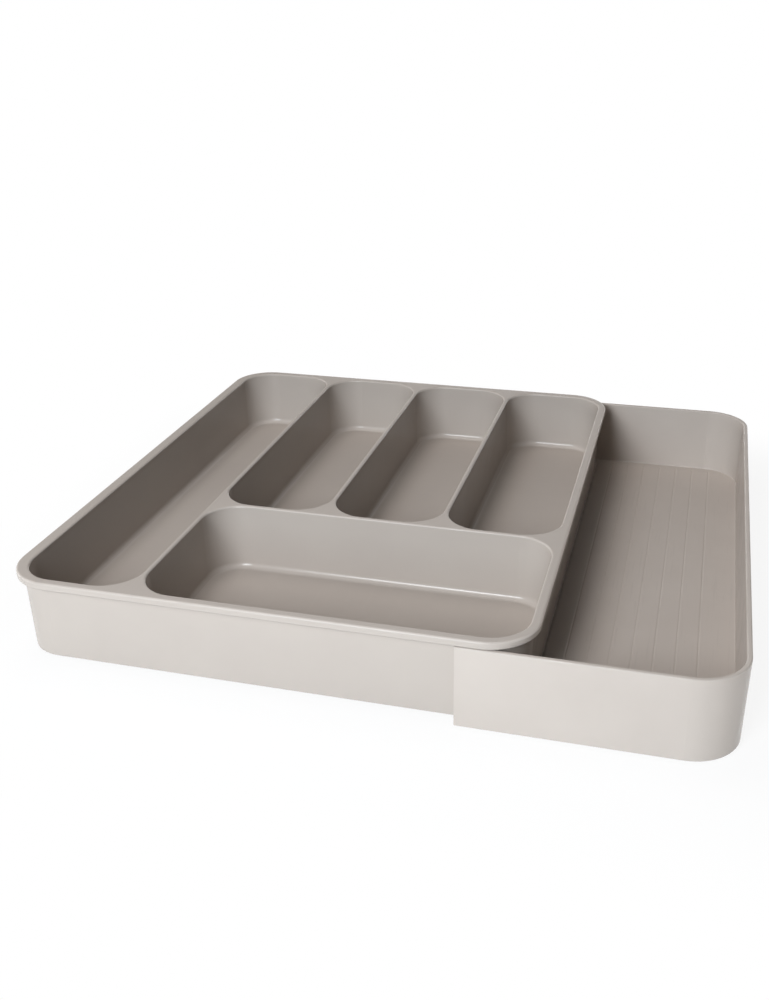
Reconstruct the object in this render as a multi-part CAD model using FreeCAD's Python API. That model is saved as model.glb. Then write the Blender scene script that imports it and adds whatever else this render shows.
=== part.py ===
import FreeCAD, Part
import math
import os

# Expanding cutlery tray: a main tray with five pockets, and a U-shaped extension that slides out of it to +X.
# Millimetres and degrees. The front is at -Y. The tray stands on z = 0, centred on its box at full stretch.

# Main tray
rim_width = 312.8            # rim, left to right
rim_depth = 390.0            # rim, front to back
rim_radius = 29.0            # outer corners of the rim and of the extension
tray_height = 51.8           # rim top down to the skirt's lower edge
lip_height = 4.5             # outer face of the lip
lip_round = 1.4              # top edge of the lip
lip_under_round = 0.6        # lower edge of the lip
skirt_draft = 1.3            # skirt leaning in towards its lower edge
wall = 1.7                   # pocket walls and pocket floors
divider_top = 7.0            # solid top of the dividers, hollow below
core_margin = 1.0            # hollow underneath in from the outermost pocket walls
base_round = 0.8             # lower outer edges of both trays

# Pockets
side_wall = 1.5              # skirt to the pockets at its top, on the right
end_margin = 0.4             # more of it, front and back
left_margin = 2.1            # more of it, on the left
divider = 3.0                # top of a wall between two pockets
front_pocket_length = 119.6  # wide front pocket, front to back
small_pocket_count = 3       # pockets behind the wide one
floor_rise = 7.4             # pocket floors above the skirt's lower edge
pocket_draft = 1.4           # pocket walls leaning in towards the floor
pocket_floor_round = 4.2
pocket_mouth_round = 1.2

# Extension
reach = 107.9                # extension beyond the rim at full stretch
extension_wall = 2.9
extension_floor = 1.5
extension_draft = 0.7
extension_top_gap = 0.5      # wall top under the lip
extension_top_round = 0.9
extension_floor_round = 0.6
side_clearance = 1.2         # side walls to the skirt, at the lip
slide_clearance = 1.8        # skirt above the extension's floor

# Grooves in the extension's floor, front to back
groove_pitch = 12.6
groove_inset = 24.7          # right face to the nearest groove
groove_width = 1.5
groove_depth = 0.2
groove_end_gap = 6.0         # end of a groove to the wall

# Stop ribs that meet at full stretch, on the extension's side walls and on the skirt
rib_inset = 3.0              # wall end to the extension's rib
rib_width = 3.0
rib_height = 16.0
rib_top_gap = 8.0            # rib to the top of the extension's wall
rib_clearance = 0.35         # rib tip to the opposite wall
rib_margin = 3.2             # skirt's rib to the start of the rim's round corner
stop_gap = 0.3               # between the two ribs at full stretch

# Feet
foot_radius = 8.0
foot_stand = 1.2             # extension's underside above the table
foot_round = 0.5             # lower edge of a foot
foot_inset = 48.0            # foot and pad centres to the front and back of the rim
stem_radius = 3.5
stem_fit = 0.1               # stem to its bore
stem_end_gap = 0.5           # stem to the bore's end
pad_recess = 0.4             # seat of a pad in the extension's underside
pad_fit = 0.15               # pad to the side of its seat
pad_inset = 24.0             # pad centre to the extension's ends

overrun = 10.0               # cutting tools past the faces they open
level_tolerance = 0.01
fillet_wall_share = 0.45     # most of a wall's top that one rounding may take

# Levels
extension_bottom = foot_stand
extension_floor_top = extension_bottom + extension_floor
skirt_bottom = extension_floor_top + slide_clearance
rim_top = skirt_bottom + tray_height
lip_bottom = rim_top - lip_height
extension_top = lip_bottom - extension_top_gap
pocket_floor = skirt_bottom + floor_rise
rib_top = extension_top - rib_top_gap
rib_bottom = rib_top - rib_height

# Plan
rim_low = (-(rim_width + reach) / 2, -rim_depth / 2)
rim_high = (rim_low[0] + rim_width, rim_depth / 2)
lip_overhang = extension_wall + side_clearance
side_overlap = rim_radius + rib_margin + 2 * rib_width + stop_gap + rib_inset
extension_low = (rim_high[0] - side_overlap, rim_low[1])
extension_high = (rim_high[0] + reach, rim_high[1])

# Pocket columns, in from the rim's edge
right_land = lip_overhang + side_wall
left_land = right_land + left_margin
end_land = right_land + end_margin
pocket_radius = rim_radius - end_land
column_width = (rim_width - left_land - right_land - small_pocket_count * divider) / (small_pocket_count + 1)
columns = [rim_low[0] + left_land + i * (column_width + divider) for i in range(small_pocket_count + 1)]

# Roundings and feet
mouth_round = min(pocket_mouth_round, fillet_wall_share * divider)
wall_top_round = min(extension_top_round, fillet_wall_share * extension_wall)
stem_length = floor_rise - 2 * wall - stem_end_gap
foot_rows = {"front": rim_low[1] + foot_inset, "back": rim_high[1] - foot_inset}

up = FreeCAD.Vector(0, 0, 1)


def inset_by(plan, distance):
    """Plan rectangle moved in on all four sides."""
    low, high = plan
    return (low[0] + distance, low[1] + distance), (high[0] - distance, high[1] - distance)


def outline(plan, left_radius, right_radius, z):
    """Closed rectangle at level z with round corners; a radius of 0 leaves the left corners square."""
    (x0, y0), (x1, y1) = plan
    corners = [
        (x1, y0, -1, 1, right_radius, 270),
        (x1, y1, -1, -1, right_radius, 0),
        (x0, y1, 1, -1, left_radius, 90),
        (x0, y0, 1, 1, left_radius, 180),
    ]
    arcs = []
    ends = []
    for x, y, inward_x, inward_y, radius, start in corners:
        if radius > 0:
            centre = FreeCAD.Vector(x + inward_x * radius, y + inward_y * radius, z)
            arc = Part.makeCircle(radius, centre, up, start, start + 90)
            arcs.append(arc)
            ends.append((arc.Vertexes[0].Point, arc.Vertexes[-1].Point))
        else:
            point = FreeCAD.Vector(x, y, z)
            ends.append((point, point))
    sides = [Part.makeLine(ends[i - 1][1], ends[i][0]) for i in range(len(ends))]
    return Part.Wire(Part.__sortEdges__(arcs + sides))


def drafted_block(plan, radius, z_drawn, z_top, z_bottom, draft, open_left=False):
    """Solid whose plan is drawn at z_drawn and leans in downwards; an open left end stays upright."""
    wires = []
    for z in (z_top, z_bottom):
        lean = (z_drawn - z) * math.tan(math.radians(draft))
        low, high = inset_by(plan, lean)
        left_radius = radius - lean
        if open_left:
            low = (plan[0][0], low[1])
            left_radius = 0
        wires.append(outline((low, high), left_radius, radius - lean, z))
    return Part.makeLoft(wires, True, True)


def edges_on_level(shape, z, right_of=None):
    """Edges that lie flat at level z, all of them or those that reach past a place in X."""
    found = []
    for edge in shape.Edges:
        box = edge.BoundBox
        flat = abs(box.ZMin - z) + abs(box.ZMax - z) < level_tolerance
        if flat and (right_of is None or box.XMax > right_of + level_tolerance):
            found.append(edge)
    return found


def block_between(x0, x1, y0, y1, z0, z1):
    """Upright box between two corners, with the two Y values in either order."""
    corner = FreeCAD.Vector(x0, min(y0, y1), z0)
    return Part.makeBox(x1 - x0, abs(y1 - y0), z1 - z0, corner)


def posts(places, radius, height):
    """Upright cylinders that stand on the given points."""
    return [Part.makeCylinder(radius, height, at, up) for at in places]


def pocket_plans():
    """Plan rectangles of the pockets at the rim: the long one, the wide one and the small ones."""
    front = rim_low[1] + end_land
    back = rim_high[1] - end_land
    wide_back = front + front_pocket_length
    plans = [((columns[0], front), (columns[0] + column_width, back))]
    plans.append(((columns[1], front), (columns[-1] + column_width, wide_back)))
    for x in columns[1:]:
        plans.append(((x, wide_back + divider), (x + column_width, back)))
    return plans


def bowl(plan, grow):
    """Space of one pocket with its round floor edge, grown by a wall for its outside."""
    floor = pocket_floor - grow
    space = drafted_block(inset_by(plan, -grow), pocket_radius + grow, rim_top, rim_top, floor, pocket_draft)
    return space.makeFillet(pocket_floor_round + grow, edges_on_level(space, floor))


def skirt_inset(z):
    """Distance of the skirt's outer face in from the rim's edge."""
    return lip_overhang + (lip_bottom - z) * math.tan(math.radians(skirt_draft))


def extension_inset(z):
    """Distance of the extension's inner face in from the rim's edge."""
    return extension_wall + (extension_top - z) * math.tan(math.radians(extension_draft))


def stop_ribs(x, tip_inset, root_inset):
    """Pair of upright ribs, at the front and at the back, between two distances in from the rim's edge."""
    front = [rim_low[1] + tip_inset, rim_low[1] + root_inset]
    back = [rim_high[1] - tip_inset, rim_high[1] - root_inset]
    return [block_between(x, x + rib_width, *ys, rib_bottom, rib_top) for ys in (front, back)]


def main_foot_places(z):
    """Centres of the two feet under the long pocket, at level z."""
    x = columns[0] + column_width / 2
    return {f"main_foot_{row}": FreeCAD.Vector(x, y, z) for row, y in foot_rows.items()}


def pad_places():
    """Centres of the four pads under the extension, on the table."""
    ends = {"left": extension_low[0] + pad_inset, "right": extension_high[0] - pad_inset}
    places = {}
    for end, x in ends.items():
        for row, y in foot_rows.items():
            places[f"extension_foot_{row}_{end}"] = FreeCAD.Vector(x, y, 0)
    return places


def lip_and_skirt():
    """Solid block of the main tray, with the lip's edges and the skirt's lower edge rounded."""
    rim = (rim_low, rim_high)
    lip = drafted_block(rim, rim_radius, rim_top, rim_top, lip_bottom, 0)
    lip = lip.makeFillet(lip_round, edges_on_level(lip, rim_top))
    lip = lip.makeFillet(lip_under_round, edges_on_level(lip, lip_bottom))
    plan = inset_by(rim, lip_overhang)
    radius = rim_radius - lip_overhang
    skirt = drafted_block(plan, radius, lip_bottom, rim_top - lip_round, skirt_bottom, skirt_draft)
    skirt = skirt.makeFillet(base_round, edges_on_level(skirt, skirt_bottom))
    return lip.fuse(skirt).removeSplitter()


def pocket_mouths(tray):
    """Edges of the pockets at the rim, without the lip's own edges."""
    low, high = inset_by((rim_low, rim_high), right_land / 2)
    mouths = []
    for edge in edges_on_level(tray, rim_top):
        box = edge.BoundBox
        if box.XMin > low[0] and box.XMax < high[0] and box.YMin > low[1] and box.YMax < high[1]:
            mouths.append(edge)
    return mouths


def underside_core(plans):
    """Hollow underneath: below the pockets, up inside the dividers, and round the foot bosses."""
    inset = (rim_top - pocket_floor) * math.tan(math.radians(pocket_draft)) - wall + core_margin
    low = (rim_low[0] + left_land, rim_low[1] + end_land)
    high = (rim_high[0] - right_land, rim_high[1] - end_land)
    outer = (low, high)
    top = rim_top - divider_top
    bottom = skirt_bottom - overrun
    core = drafted_block(inset_by(outer, inset), pocket_radius - inset, top, top, bottom, 0)
    bosses = posts(main_foot_places(bottom).values(), foot_radius, floor_rise + overrun)
    return core.cut([bowl(plan, wall) for plan in plans] + bosses)


def main_tray():
    """Deck with lip, drafted skirt and pockets, hollow underneath, with bosses for two feet."""
    plans = pocket_plans()
    tray = lip_and_skirt().cut([bowl(plan, 0) for plan in plans])
    tray = tray.makeFillet(mouth_round, pocket_mouths(tray))
    bores = posts(main_foot_places(skirt_bottom).values(), stem_radius + stem_fit, stem_length + stem_end_gap)
    tray = tray.cut([underside_core(plans)] + bores)
    rib_left = extension_low[0] + rib_inset + rib_width + stop_gap
    rib_tip = extension_inset(rib_bottom) + rib_clearance
    ribs = stop_ribs(rib_left, rib_tip, skirt_inset(rib_bottom) + side_wall / 2)
    return tray.fuse(ribs).removeSplitter()


def floor_grooves():
    """Shallow V grooves, evenly spaced from the right end of the extension's floor to its left end."""
    front = rim_low[1] + extension_wall + groove_end_gap
    length = rim_depth - 2 * (extension_wall + groove_end_gap)
    first = extension_high[0] - groove_inset
    last = extension_low[0] + groove_width
    tools = []
    for i in range(int((first - last) / groove_pitch) + 1):
        x = first - i * groove_pitch
        profile = [
            FreeCAD.Vector(x - groove_width / 2, front, extension_floor_top),
            FreeCAD.Vector(x, front, extension_floor_top - groove_depth),
            FreeCAD.Vector(x + groove_width / 2, front, extension_floor_top),
        ]
        face = Part.Face(Part.makePolygon(profile + profile[:1]))
        tools.append(face.extrude(FreeCAD.Vector(0, length, 0)))
    return tools


def extension_tray():
    """U-shaped tray, open to the left, with a grooved floor and seats for four pads."""
    plan = (extension_low, extension_high)
    left = extension_low[0]
    top = extension_top
    tray = drafted_block(plan, rim_radius, top, top, extension_bottom, extension_draft, True)
    tray = tray.makeFillet(base_round, edges_on_level(tray, extension_bottom, left))
    low, high = inset_by(plan, extension_wall)
    room = drafted_block(((left - overrun, low[1]), high), rim_radius - extension_wall, top, top + overrun,
                         extension_floor_top, extension_draft, True)
    room = room.makeFillet(extension_floor_round, edges_on_level(room, extension_floor_top))
    tray = tray.cut(room)
    tray = tray.makeFillet(wall_top_round, edges_on_level(tray, top, left))
    seats = posts(pad_places().values(), foot_radius + pad_fit, extension_bottom + pad_recess)
    tray = tray.cut(floor_grooves() + seats)
    ribs = stop_ribs(left + rib_inset, skirt_inset(rib_top) - rib_clearance, extension_wall / 2)
    return tray.fuse(ribs).removeSplitter()


def foot_disc(at, height):
    """Round foot standing on the table, with its lower edge rounded."""
    disc = Part.makeCylinder(foot_radius, height, FreeCAD.Vector(at.x, at.y, 0), up)
    return disc.makeFillet(foot_round, edges_on_level(disc, 0))


def main_foot(at):
    """Tall foot up to its boss, with a stem that plugs into the boss."""
    stem = Part.makeCylinder(stem_radius, stem_length, at, up)
    return foot_disc(at, at.z).fuse(stem).removeSplitter()


parts = {"main_tray": main_tray(), "extension_tray": extension_tray()}
for name, at in main_foot_places(skirt_bottom).items():
    parts[name] = main_foot(at)
for name, at in pad_places().items():
    parts[name] = foot_disc(at, foot_stand + pad_recess)

os.makedirs("parts", exist_ok=True)
for name, shape in parts.items():
    shape.exportStep(f"parts/{name}.step")
    print(name, shape.isValid(), len(shape.Solids), round(shape.Volume))
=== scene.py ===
import math
import bpy
from mathutils import Matrix, Vector


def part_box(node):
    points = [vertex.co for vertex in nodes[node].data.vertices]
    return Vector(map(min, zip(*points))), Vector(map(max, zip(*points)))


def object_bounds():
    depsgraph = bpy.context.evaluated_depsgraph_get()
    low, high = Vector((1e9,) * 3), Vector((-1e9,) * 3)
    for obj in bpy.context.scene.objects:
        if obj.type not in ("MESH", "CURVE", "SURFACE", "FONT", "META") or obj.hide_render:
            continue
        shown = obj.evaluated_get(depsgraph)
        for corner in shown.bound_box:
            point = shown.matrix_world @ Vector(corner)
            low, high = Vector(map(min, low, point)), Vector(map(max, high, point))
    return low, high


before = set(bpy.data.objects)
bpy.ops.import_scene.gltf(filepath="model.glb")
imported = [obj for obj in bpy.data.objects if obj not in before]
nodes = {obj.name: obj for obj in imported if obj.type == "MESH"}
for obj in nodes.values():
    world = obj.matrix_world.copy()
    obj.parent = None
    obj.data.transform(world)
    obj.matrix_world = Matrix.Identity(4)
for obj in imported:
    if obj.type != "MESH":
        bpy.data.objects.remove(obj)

cadBox = [list(corner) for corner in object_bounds()]
scene = bpy.context.scene
scene.view_settings.view_transform = "Standard"
print("frame loaded:", len(nodes), "nodes")


def placeNode(tree, kind, x, y, **settings):  # one node, with its settings and unlinked inputs
    node = tree.nodes.new(kind)
    node.location = (x, y)
    for name, value in settings.get("props", {}).items():
        setattr(node, name, value)
    for name, value in settings.get("inputs", {}).items():
        node.inputs[name].default_value = value
    return node


def startGroup(name, inputs, outputs):
    group = bpy.data.node_groups.new(name, "ShaderNodeTree")
    for label, value in inputs.items():
        socket = group.interface.new_socket(label, in_out="INPUT", socket_type="NodeSocketFloat")
        socket.default_value = value
    for label in outputs:
        group.interface.new_socket(label, in_out="OUTPUT", socket_type="NodeSocketFloat")
    entry = placeNode(group, "NodeGroupInput", -900, 0)
    leave = placeNode(group, "NodeGroupOutput", 700, 0)
    return group, entry, leave


def spread(group, source, low, high, x, y, toLow=0.0, toHigh=1.0):  # remaps a value and clamps it
    node = placeNode(group, "ShaderNodeMapRange", x, y, props={"interpolation_type": "SMOOTHSTEP"},
                     inputs={"From Min": low, "From Max": high, "To Min": toLow, "To Max": toHigh})
    group.links.new(source, node.inputs["Value"])
    return node.outputs["Result"]


def combine(group, operation, first, second, x, y):
    node = placeNode(group, "ShaderNodeMath", x, y, props={"operation": operation})
    for socket, value in zip(node.inputs, (first, second)):
        if isinstance(value, (int, float)):
            socket.default_value = value
        else:
            group.links.new(value, socket)
    return node.outputs["Value"]


# Spark-eroded mould skin: fine grain for the bump, slow clouds for colour, haze for the gloss.
def makeMouldSkin():
    scales = {"Grain Scale": 1900.0, "Cloud Scale": 16.0, "Haze Scale": 55.0}
    group, entry, leave = startGroup("mouldSkin", scales, ("Height", "Cloud", "Haze"))
    coords = placeNode(group, "ShaderNodeTexCoord", -900, -300).outputs["Object"]
    for label, scale, detail, low, high, y in (("Height", "Grain Scale", 2.0, 0.25, 0.75, 300),
                                               ("Cloud", "Cloud Scale", 3.0, 0.30, 0.70, 0),
                                               ("Haze", "Haze Scale", 5.0, 0.30, 0.70, -300)):
        noise = placeNode(group, "ShaderNodeTexNoise", -500, y, inputs={"Detail": detail, "Roughness": 0.55})
        group.links.new(coords, noise.inputs["Vector"])
        group.links.new(entry.outputs[scale], noise.inputs["Scale"])
        group.links.new(spread(group, noise.outputs["Fac"], low, high, -100, y), leave.inputs[label])
    return group


# Rounded top edges, rubbed dull by hands and drawers: the roundings near a level, broken up a little.
# Pairs are where a ramp starts and ends; leaning and flat are shares of a face's turn upwards.
edgeWear = {"leaning": (0.10, 0.35), "flat": (0.93, 0.995), "patch": (0.30, 0.62), "leastWear": 0.35}


def makeRubbedEdge(look):
    sizes = {"Level": 0.05, "Band": 0.003, "Patch Scale": 90.0}
    group, entry, leave = startGroup("rubbedEdge", sizes, ("Mask",))
    coords = placeNode(group, "ShaderNodeTexCoord", -900, -300)
    place = placeNode(group, "ShaderNodeSeparateXYZ", -700, -200)
    facing = placeNode(group, "ShaderNodeSeparateXYZ", -700, -400)
    group.links.new(coords.outputs["Object"], place.inputs[0])
    group.links.new(coords.outputs["Normal"], facing.inputs[0])
    low = combine(group, "SUBTRACT", entry.outputs["Level"], entry.outputs["Band"], -500, 100)
    near = combine(group, "GREATER_THAN", place.outputs["Z"], low, -300, 100)
    leaning = spread(group, facing.outputs["Z"], *look["leaning"], -500, -200)
    notFlat = spread(group, facing.outputs["Z"], *look["flat"], -500, -400, 1.0, 0.0)
    patches = placeNode(group, "ShaderNodeTexNoise", -500, -650, inputs={"Detail": 3.0})
    group.links.new(coords.outputs["Object"], patches.inputs["Vector"])
    group.links.new(entry.outputs["Patch Scale"], patches.inputs["Scale"])
    broken = spread(group, patches.outputs["Fac"], *look["patch"], -300, -650, look["leastWear"], 1.0)
    rounding = combine(group, "MULTIPLY", leaning, notFlat, -100, -300)
    banded = combine(group, "MULTIPLY", rounding, near, 100, -100)
    group.links.new(combine(group, "MULTIPLY", banded, broken, 300, -100), leave.inputs["Mask"])
    return group


# Faint hairlines that cutlery leaves on the floors, in two directions, and a mask of the floors themselves.
hairlines = {"floor": (0.80, 0.96), "line": (0.66, 0.74), "turns": (0.22, -0.35), "stretch": 0.035}


def makeCutleryMarks(look):
    group, entry, leave = startGroup("cutleryMarks", {"Line Scale": 700.0, "Amount": 0.5}, ("Mask", "Floor"))
    coords = placeNode(group, "ShaderNodeTexCoord", -1100, -300)
    facing = placeNode(group, "ShaderNodeSeparateXYZ", -700, 200)
    group.links.new(coords.outputs["Normal"], facing.inputs[0])
    floors = spread(group, facing.outputs["Z"], *look["floor"], -500, 200)
    lines = []
    for turn, y in zip(look["turns"], (-100, -450)):
        lay = placeNode(group, "ShaderNodeMapping", -900, y,
                        inputs={"Rotation": (0, 0, turn), "Scale": (1.0, look["stretch"], 1.0)})
        noise = placeNode(group, "ShaderNodeTexNoise", -500, y, inputs={"Detail": 1.0})
        group.links.new(coords.outputs["Object"], lay.inputs["Vector"])
        group.links.new(lay.outputs["Vector"], noise.inputs["Vector"])
        group.links.new(entry.outputs["Line Scale"], noise.inputs["Scale"])
        lines.append(spread(group, noise.outputs["Fac"], *look["line"], -300, y))
    both = combine(group, "MAXIMUM", lines[0], lines[1], -100, -250)
    onFloor = combine(group, "MULTIPLY", both, floors, 100, 0)
    faint = combine(group, "MULTIPLY", onFloor, entry.outputs["Amount"], 300, 0)
    group.links.new(faint, leave.inputs["Mask"])
    group.links.new(floors, leave.inputs["Floor"])
    return group


mouldSkin = makeMouldSkin()
rubbedEdge = makeRubbedEdge(edgeWear)
cutleryMarks = makeCutleryMarks(hairlines)
print("finish groups made")


def putGroup(tree, group, x, y, values):
    node = placeNode(tree, "ShaderNodeGroup", x, y, props={"node_tree": group})
    for label, value in values.items():
        node.inputs[label].default_value = value
    return node


def blendColours(tree, factor, first, second, x, y):  # sockets 6, 7 and 2 are the mix's colours
    node = placeNode(tree, "ShaderNodeMix", x, y, props={"data_type": "RGBA"})
    tree.links.new(factor, node.inputs["Factor"])
    for socket, value in ((node.inputs[6], first), (node.inputs[7], second)):
        if isinstance(value, tuple):
            socket.default_value = (*value, 1.0)
        else:
            tree.links.new(value, socket)
    return node.outputs[2]


def startMaterial(name, look):
    material = bpy.data.materials.new(name)
    material.use_nodes = True
    tree = material.node_tree
    tree.nodes.clear()
    shader = placeNode(tree, "ShaderNodeBsdfPrincipled", 500, 0, inputs=look["shader"])
    output = placeNode(tree, "ShaderNodeOutputMaterial", 800, 0)
    tree.links.new(shader.outputs["BSDF"], output.inputs["Surface"])
    return material, tree, shader


def traySkin(name, look):  # satin moulded plastic
    material, tree, shader = startMaterial(name, look)
    skin = putGroup(tree, mouldSkin, -700, 200, look["skin"])
    edge = putGroup(tree, rubbedEdge, -700, -100, look["edge"])
    marks = putGroup(tree, cutleryMarks, -700, -400, look["marks"])
    tinted = blendColours(tree, skin.outputs["Cloud"], look["shade"], look["tint"], -400, 300)
    marked = blendColours(tree, marks.outputs["Mask"], tinted, look["markTint"], -200, 300)
    worn = blendColours(tree, edge.outputs["Mask"], marked, look["edgeTint"], 0, 300)
    tree.links.new(worn, shader.inputs["Base Color"])
    dull, bright = look["gloss"]
    haze = spread(tree, skin.outputs["Haze"], 0.0, 1.0, -400, 0, bright, dull)
    rub = combine(tree, "MULTIPLY", edge.outputs["Mask"], look["edgeDull"], -400, -150)
    scuff = combine(tree, "MULTIPLY", marks.outputs["Mask"], look["markGloss"], -400, -400)
    flat = combine(tree, "MULTIPLY", marks.outputs["Floor"], look["floorDull"], -400, -550)
    rubbed = combine(tree, "ADD", haze, rub, -200, 0)
    scuffed = combine(tree, "ADD", scuff, flat, -200, -150)
    tree.links.new(combine(tree, "ADD", rubbed, scuffed, 0, 0), shader.inputs["Roughness"])
    cut = combine(tree, "MULTIPLY", marks.outputs["Mask"], look["markDepth"], -200, -400)
    height = combine(tree, "SUBTRACT", skin.outputs["Height"], cut, 0, -300)
    bump = placeNode(tree, "ShaderNodeBump", 250, -300,
                     inputs={"Strength": look["grainStrength"], "Distance": look["grainDepth"]})
    tree.links.new(height, bump.inputs["Height"])
    tree.links.new(bump.outputs["Normal"], shader.inputs["Normal"])
    return material


mainTray = {
    "shader": {"IOR": 1.46, "Specular IOR Level": 0.32},
    "skin": {"Grain Scale": 1900.0, "Cloud Scale": 14.0, "Haze Scale": 50.0},
    "edge": {"Level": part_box("main_tray")[1].z, "Band": 0.0016, "Patch Scale": 70.0},
    "marks": {"Line Scale": 700.0, "Amount": 0.35},
    "shade": (0.396, 0.349, 0.312),
    "tint": (0.409, 0.362, 0.323),
    "edgeTint": (0.413, 0.366, 0.327),
    "markTint": (0.421, 0.373, 0.335),
    "gloss": (0.25, 0.21),
    "edgeDull": 0.22,
    "floorDull": 0.32,
    "markGloss": 0.05,
    "markDepth": 0.5,
    "grainStrength": 0.10,
    "grainDepth": 0.00006,
}
extensionTray = {
    **mainTray,
    "skin": {"Grain Scale": 1600.0, "Cloud Scale": 20.0, "Haze Scale": 70.0},
    "edge": {"Level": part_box("extension_tray")[1].z, "Band": 0.0011, "Patch Scale": 80.0},
    "marks": {"Line Scale": 620.0, "Amount": 0.40},
    "shade": (0.453, 0.400, 0.358),
    "tint": (0.468, 0.415, 0.372),
}
mainSkin = traySkin("mainTraySkin", mainTray)
extensionSkin = traySkin("extensionTraySkin", extensionTray)


footRubber = {
    "shader": {"IOR": 1.52, "Specular IOR Level": 0.35},
    "skin": {"Grain Scale": 1300.0, "Cloud Scale": 180.0, "Haze Scale": 420.0},
    "shade": (0.255, 0.238, 0.222),
    "tint": (0.330, 0.310, 0.290),
    "gloss": (0.82, 0.66),
    "ringTurns": 31.0,
    "ringEdge": 0.6,
    "ringDepth": 0.00025,
    "grainShare": 0.25,
    "grainStrength": 0.35,
}


def rubberSkin(name, look):  # soft rubber with round treads underneath
    material, tree, shader = startMaterial(name, look)
    skin = putGroup(tree, mouldSkin, -700, 200, look["skin"])
    tree.links.new(blendColours(tree, skin.outputs["Cloud"], look["shade"], look["tint"], -200, 300),
                   shader.inputs["Base Color"])
    dull, bright = look["gloss"]
    haze = spread(tree, skin.outputs["Haze"], 0.0, 1.0, -200, 0, bright, dull)
    tree.links.new(haze, shader.inputs["Roughness"])
    coords = placeNode(tree, "ShaderNodeTexCoord", -1100, -300)
    middle = placeNode(tree, "ShaderNodeMapping", -900, -300,
                       inputs={"Location": (-0.5, -0.5, 0), "Scale": (1, 1, 0)})
    radius = placeNode(tree, "ShaderNodeVectorMath", -700, -300, props={"operation": "LENGTH"})
    tree.links.new(coords.outputs["Generated"], middle.inputs["Vector"])
    tree.links.new(middle.outputs["Vector"], radius.inputs[0])
    turns = combine(tree, "MULTIPLY", radius.outputs["Value"], look["ringTurns"], -500, -300)
    wave = combine(tree, "SINE", turns, 0, -300, -300)
    treads = spread(tree, wave, -look["ringEdge"], look["ringEdge"], -100, -300)
    grain = combine(tree, "MULTIPLY", skin.outputs["Height"], look["grainShare"], -100, -100)
    height = combine(tree, "ADD", treads, grain, 100, -300)
    bump = placeNode(tree, "ShaderNodeBump", 280, -300,
                     inputs={"Strength": look["grainStrength"], "Distance": look["ringDepth"]})
    tree.links.new(height, bump.inputs["Height"])
    tree.links.new(bump.outputs["Normal"], shader.inputs["Normal"])
    return material


rubber = rubberSkin("footRubberSkin", footRubber)
finishes = {"main_tray": mainSkin, "extension_tray": extensionSkin}
for name, node in nodes.items():
    for place in node.material_slots:
        place.material = finishes.get(name, rubber)
print("finishes given to", len(nodes), "nodes")


# White floor: near the tray a tenth of it is diffuse paper, which takes the real shadow, and the same mix
# also paints a faint grey halo of shade round the tray where the floor is lit; it is plain white from the
# halo's outer reach on.
stage = {"radius": 9.0, "sides": 96, "drop": 0.0002, "colour": (0.86, 0.86, 0.86), "glow": 0.9, "paintedHaloReach": 0.11}


def makeFloor(look):
    mesh = bpy.data.meshes.new("paleFloor")
    count = look["sides"]
    angles = [2 * math.pi * i / count for i in range(count)]
    ring = [(look["radius"] * math.cos(a), look["radius"] * math.sin(a), -look["drop"]) for a in angles]
    mesh.from_pydata(ring, [], [list(range(count))])
    floor = bpy.data.objects.new("paleFloor", mesh)
    scene.collection.objects.link(floor)
    material = bpy.data.materials.new("palePaper")
    material.use_nodes = True
    tree = material.node_tree
    tree.nodes.clear()
    output = placeNode(tree, "ShaderNodeOutputMaterial", 800, 0)
    paper = placeNode(tree, "ShaderNodeBsdfDiffuse", 200, 150, inputs={"Color": (*look["colour"], 1)})
    glow = placeNode(tree, "ShaderNodeEmission", 200, -150, inputs={"Color": (1, 1, 1, 1), "Strength": 1.0})
    mix = placeNode(tree, "ShaderNodeMixShader", 500, 0)
    path = placeNode(tree, "ShaderNodeLightPath", -700, 300)
    seen = combine(tree, "MAXIMUM", path.outputs["Is Camera Ray"], path.outputs["Is Glossy Ray"], -500, 300)
    seen = combine(tree, "MAXIMUM", seen, path.outputs["Is Transmission Ray"], -300, 300)
    where = placeNode(tree, "ShaderNodeNewGeometry", -1300, -200)
    across = placeNode(tree, "ShaderNodeVectorMath", -1100, -200, props={"operation": "ABSOLUTE"})
    beyond = placeNode(tree, "ShaderNodeVectorMath", -900, -200, props={"operation": "SUBTRACT"})
    outside = placeNode(tree, "ShaderNodeVectorMath", -700, -200, props={"operation": "MAXIMUM"})
    away = placeNode(tree, "ShaderNodeVectorMath", -500, -200, props={"operation": "LENGTH"})
    beyond.inputs[1].default_value = cadBox[1]
    tree.links.new(where.outputs["Position"], across.inputs[0])
    tree.links.new(across.outputs[0], beyond.inputs[0])
    tree.links.new(beyond.outputs[0], outside.inputs[0])
    tree.links.new(outside.outputs[0], away.inputs[0])
    # painted shade: the white share is lowered near the tray's box, greying the floor round the tray
    # whatever the light
    haloWhiteShare = spread(tree, away.outputs["Value"], 0.0, look["paintedHaloReach"], -300, -200, look["glow"], 1.0)
    tree.links.new(combine(tree, "MULTIPLY", seen, haloWhiteShare, 0, 0), mix.inputs[0])
    tree.links.new(paper.outputs[0], mix.inputs[1])
    tree.links.new(glow.outputs[0], mix.inputs[2])
    tree.links.new(mix.outputs[0], output.inputs["Surface"])
    mesh.materials.append(material)


makeFloor(stage)


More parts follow.
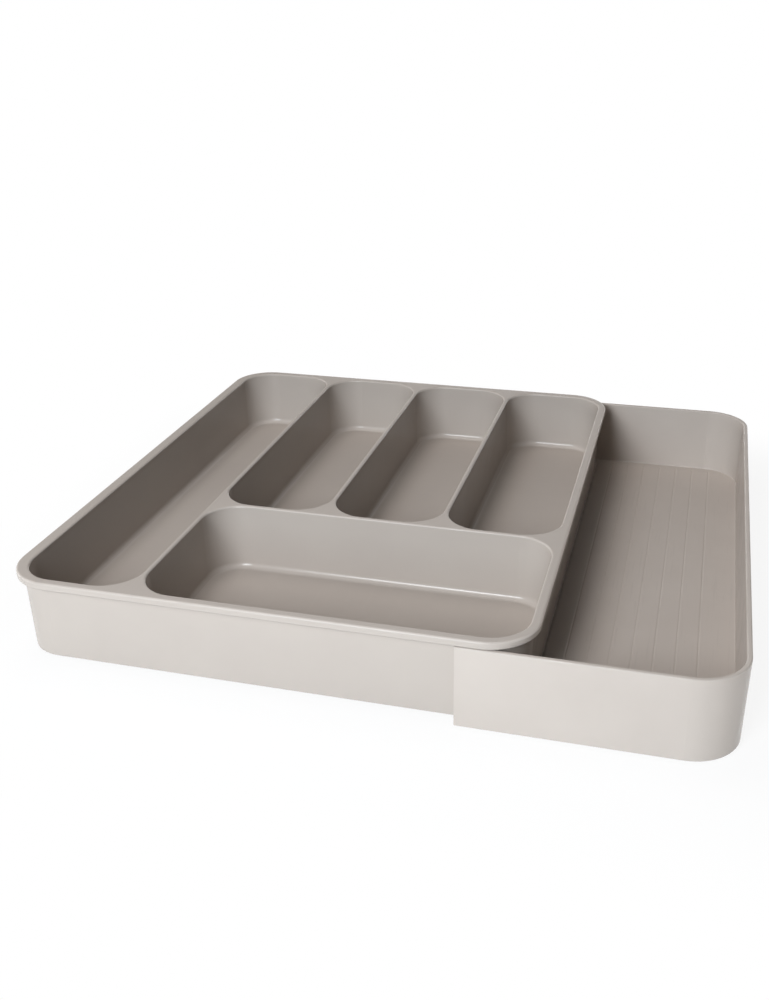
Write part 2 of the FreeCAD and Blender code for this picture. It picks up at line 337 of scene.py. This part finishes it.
# Softboxes: azimuth from the front towards the right, elevation, distance, width, height, power in watts.
aim = Vector((0.0, 0.0, 0.03))
softboxes = {
    "keySoftbox": {"turn": -10, "rise": 27.2, "away": 1.29, "size": (0.4, 0.34),
                   "power": 12.2, "tint": (0.94, 1.0, 1.06)},
    "lowSoftbox": {"turn": -7.1, "rise": 12.6, "away": 1.24, "size": (0.4, 0.3),
                   "power": 3.2, "tint": (0.84, 1.0, 1.12)},
    "nearSoftbox": {"turn": -7.5, "rise": 38, "away": 1.09, "size": (0.34, 0.34),
                    "power": 2.4, "tint": (0.99, 1.0, 1.02)},
    "topSoftbox": {"turn": -125, "rise": 75, "away": 1.22, "size": (0.6, 0.6),
                   "power": 4.1, "tint": (1.06, 1.0, 0.96)},
    "rightSoftbox": {"turn": 94, "rise": 0.2, "away": 2.0, "size": (1.2, 0.05),
                     "power": 11.0, "tint": (1.0, 1.0, 1.0)},
    "leftSoftbox": {"turn": -92, "rise": 5, "away": 2.4, "size": (2.6, 0.3),
                    "power": 19.0, "tint": (1.0, 1.0, 1.0)},
    "backSoftbox": {"turn": 180, "rise": 6, "away": 2.4, "size": (2.0, 0.3),
                    "power": 15.0, "tint": (1.0, 1.0, 1.0)},
}
ambient = 0.012


def pointAt(spot, target):
    return (target - spot).to_track_quat("-Z", "Y").to_euler()


for name, box in softboxes.items():
    turn, rise = math.radians(box["turn"]), math.radians(box["rise"])
    direction = Vector((math.sin(turn) * math.cos(rise), -math.cos(turn) * math.cos(rise), math.sin(rise)))
    lamp = bpy.data.lights.new(name, "AREA")
    lamp.shape = "RECTANGLE"
    lamp.size, lamp.size_y = box["size"]
    lamp.energy = box["power"]
    lamp.color = box["tint"]
    holder = bpy.data.objects.new(name, lamp)
    holder.location = aim + direction * box["away"]
    holder.rotation_euler = pointAt(holder.location, aim)
    scene.collection.objects.link(holder)

world = bpy.data.worlds.new("studio")
scene.world = world
world.use_nodes = True
sky = world.node_tree
sky.nodes.clear()
backdrop = placeNode(sky, "ShaderNodeBackground", 400, 0, inputs={"Color": (1, 1, 1, 1)})
skyOutput = placeNode(sky, "ShaderNodeOutputWorld", 700, 0)
skyPath = placeNode(sky, "ShaderNodeLightPath", -600, 0)
shown = combine(sky, "MAXIMUM", skyPath.outputs["Is Camera Ray"], skyPath.outputs["Is Glossy Ray"], -400, 0)
shown = combine(sky, "MAXIMUM", shown, skyPath.outputs["Is Transmission Ray"], -200, 0)
sky.links.new(spread(sky, shown, 0.0, 1.0, 100, 0, ambient, 1.0), backdrop.inputs["Strength"])
sky.links.new(backdrop.outputs[0], skyOutput.inputs["Surface"])
print("stage and", len(softboxes), "softboxes set")


# Camera: place in metres, turn to the left, tilt down and roll in degrees, lens and sensor in millimetres.
shot = {"spot": (0.1669, -0.6862, 0.3689), "turn": 16.147, "fall": 24.881, "roll": -1.010,
        "lens": 40.715, "sensor": 36.0, "nearClip": 0.01, "farClip": 60.0}
lensData = bpy.data.cameras.new("trayCamera")
lensData.lens = shot["lens"]
lensData.sensor_width = shot["sensor"]
lensData.clip_start = shot["nearClip"]
lensData.clip_end = shot["farClip"]
camera = bpy.data.objects.new("trayCamera", lensData)
camera.matrix_world = (Matrix.Translation(shot["spot"])
                       @ Matrix.Rotation(math.radians(shot["turn"]), 4, "Z")
                       @ Matrix.Rotation(math.radians(90.0 - shot["fall"]), 4, "X")
                       @ Matrix.Rotation(math.radians(shot["roll"]), 4, "Z"))
scene.collection.objects.link(camera)
scene.camera = camera
print("camera set")
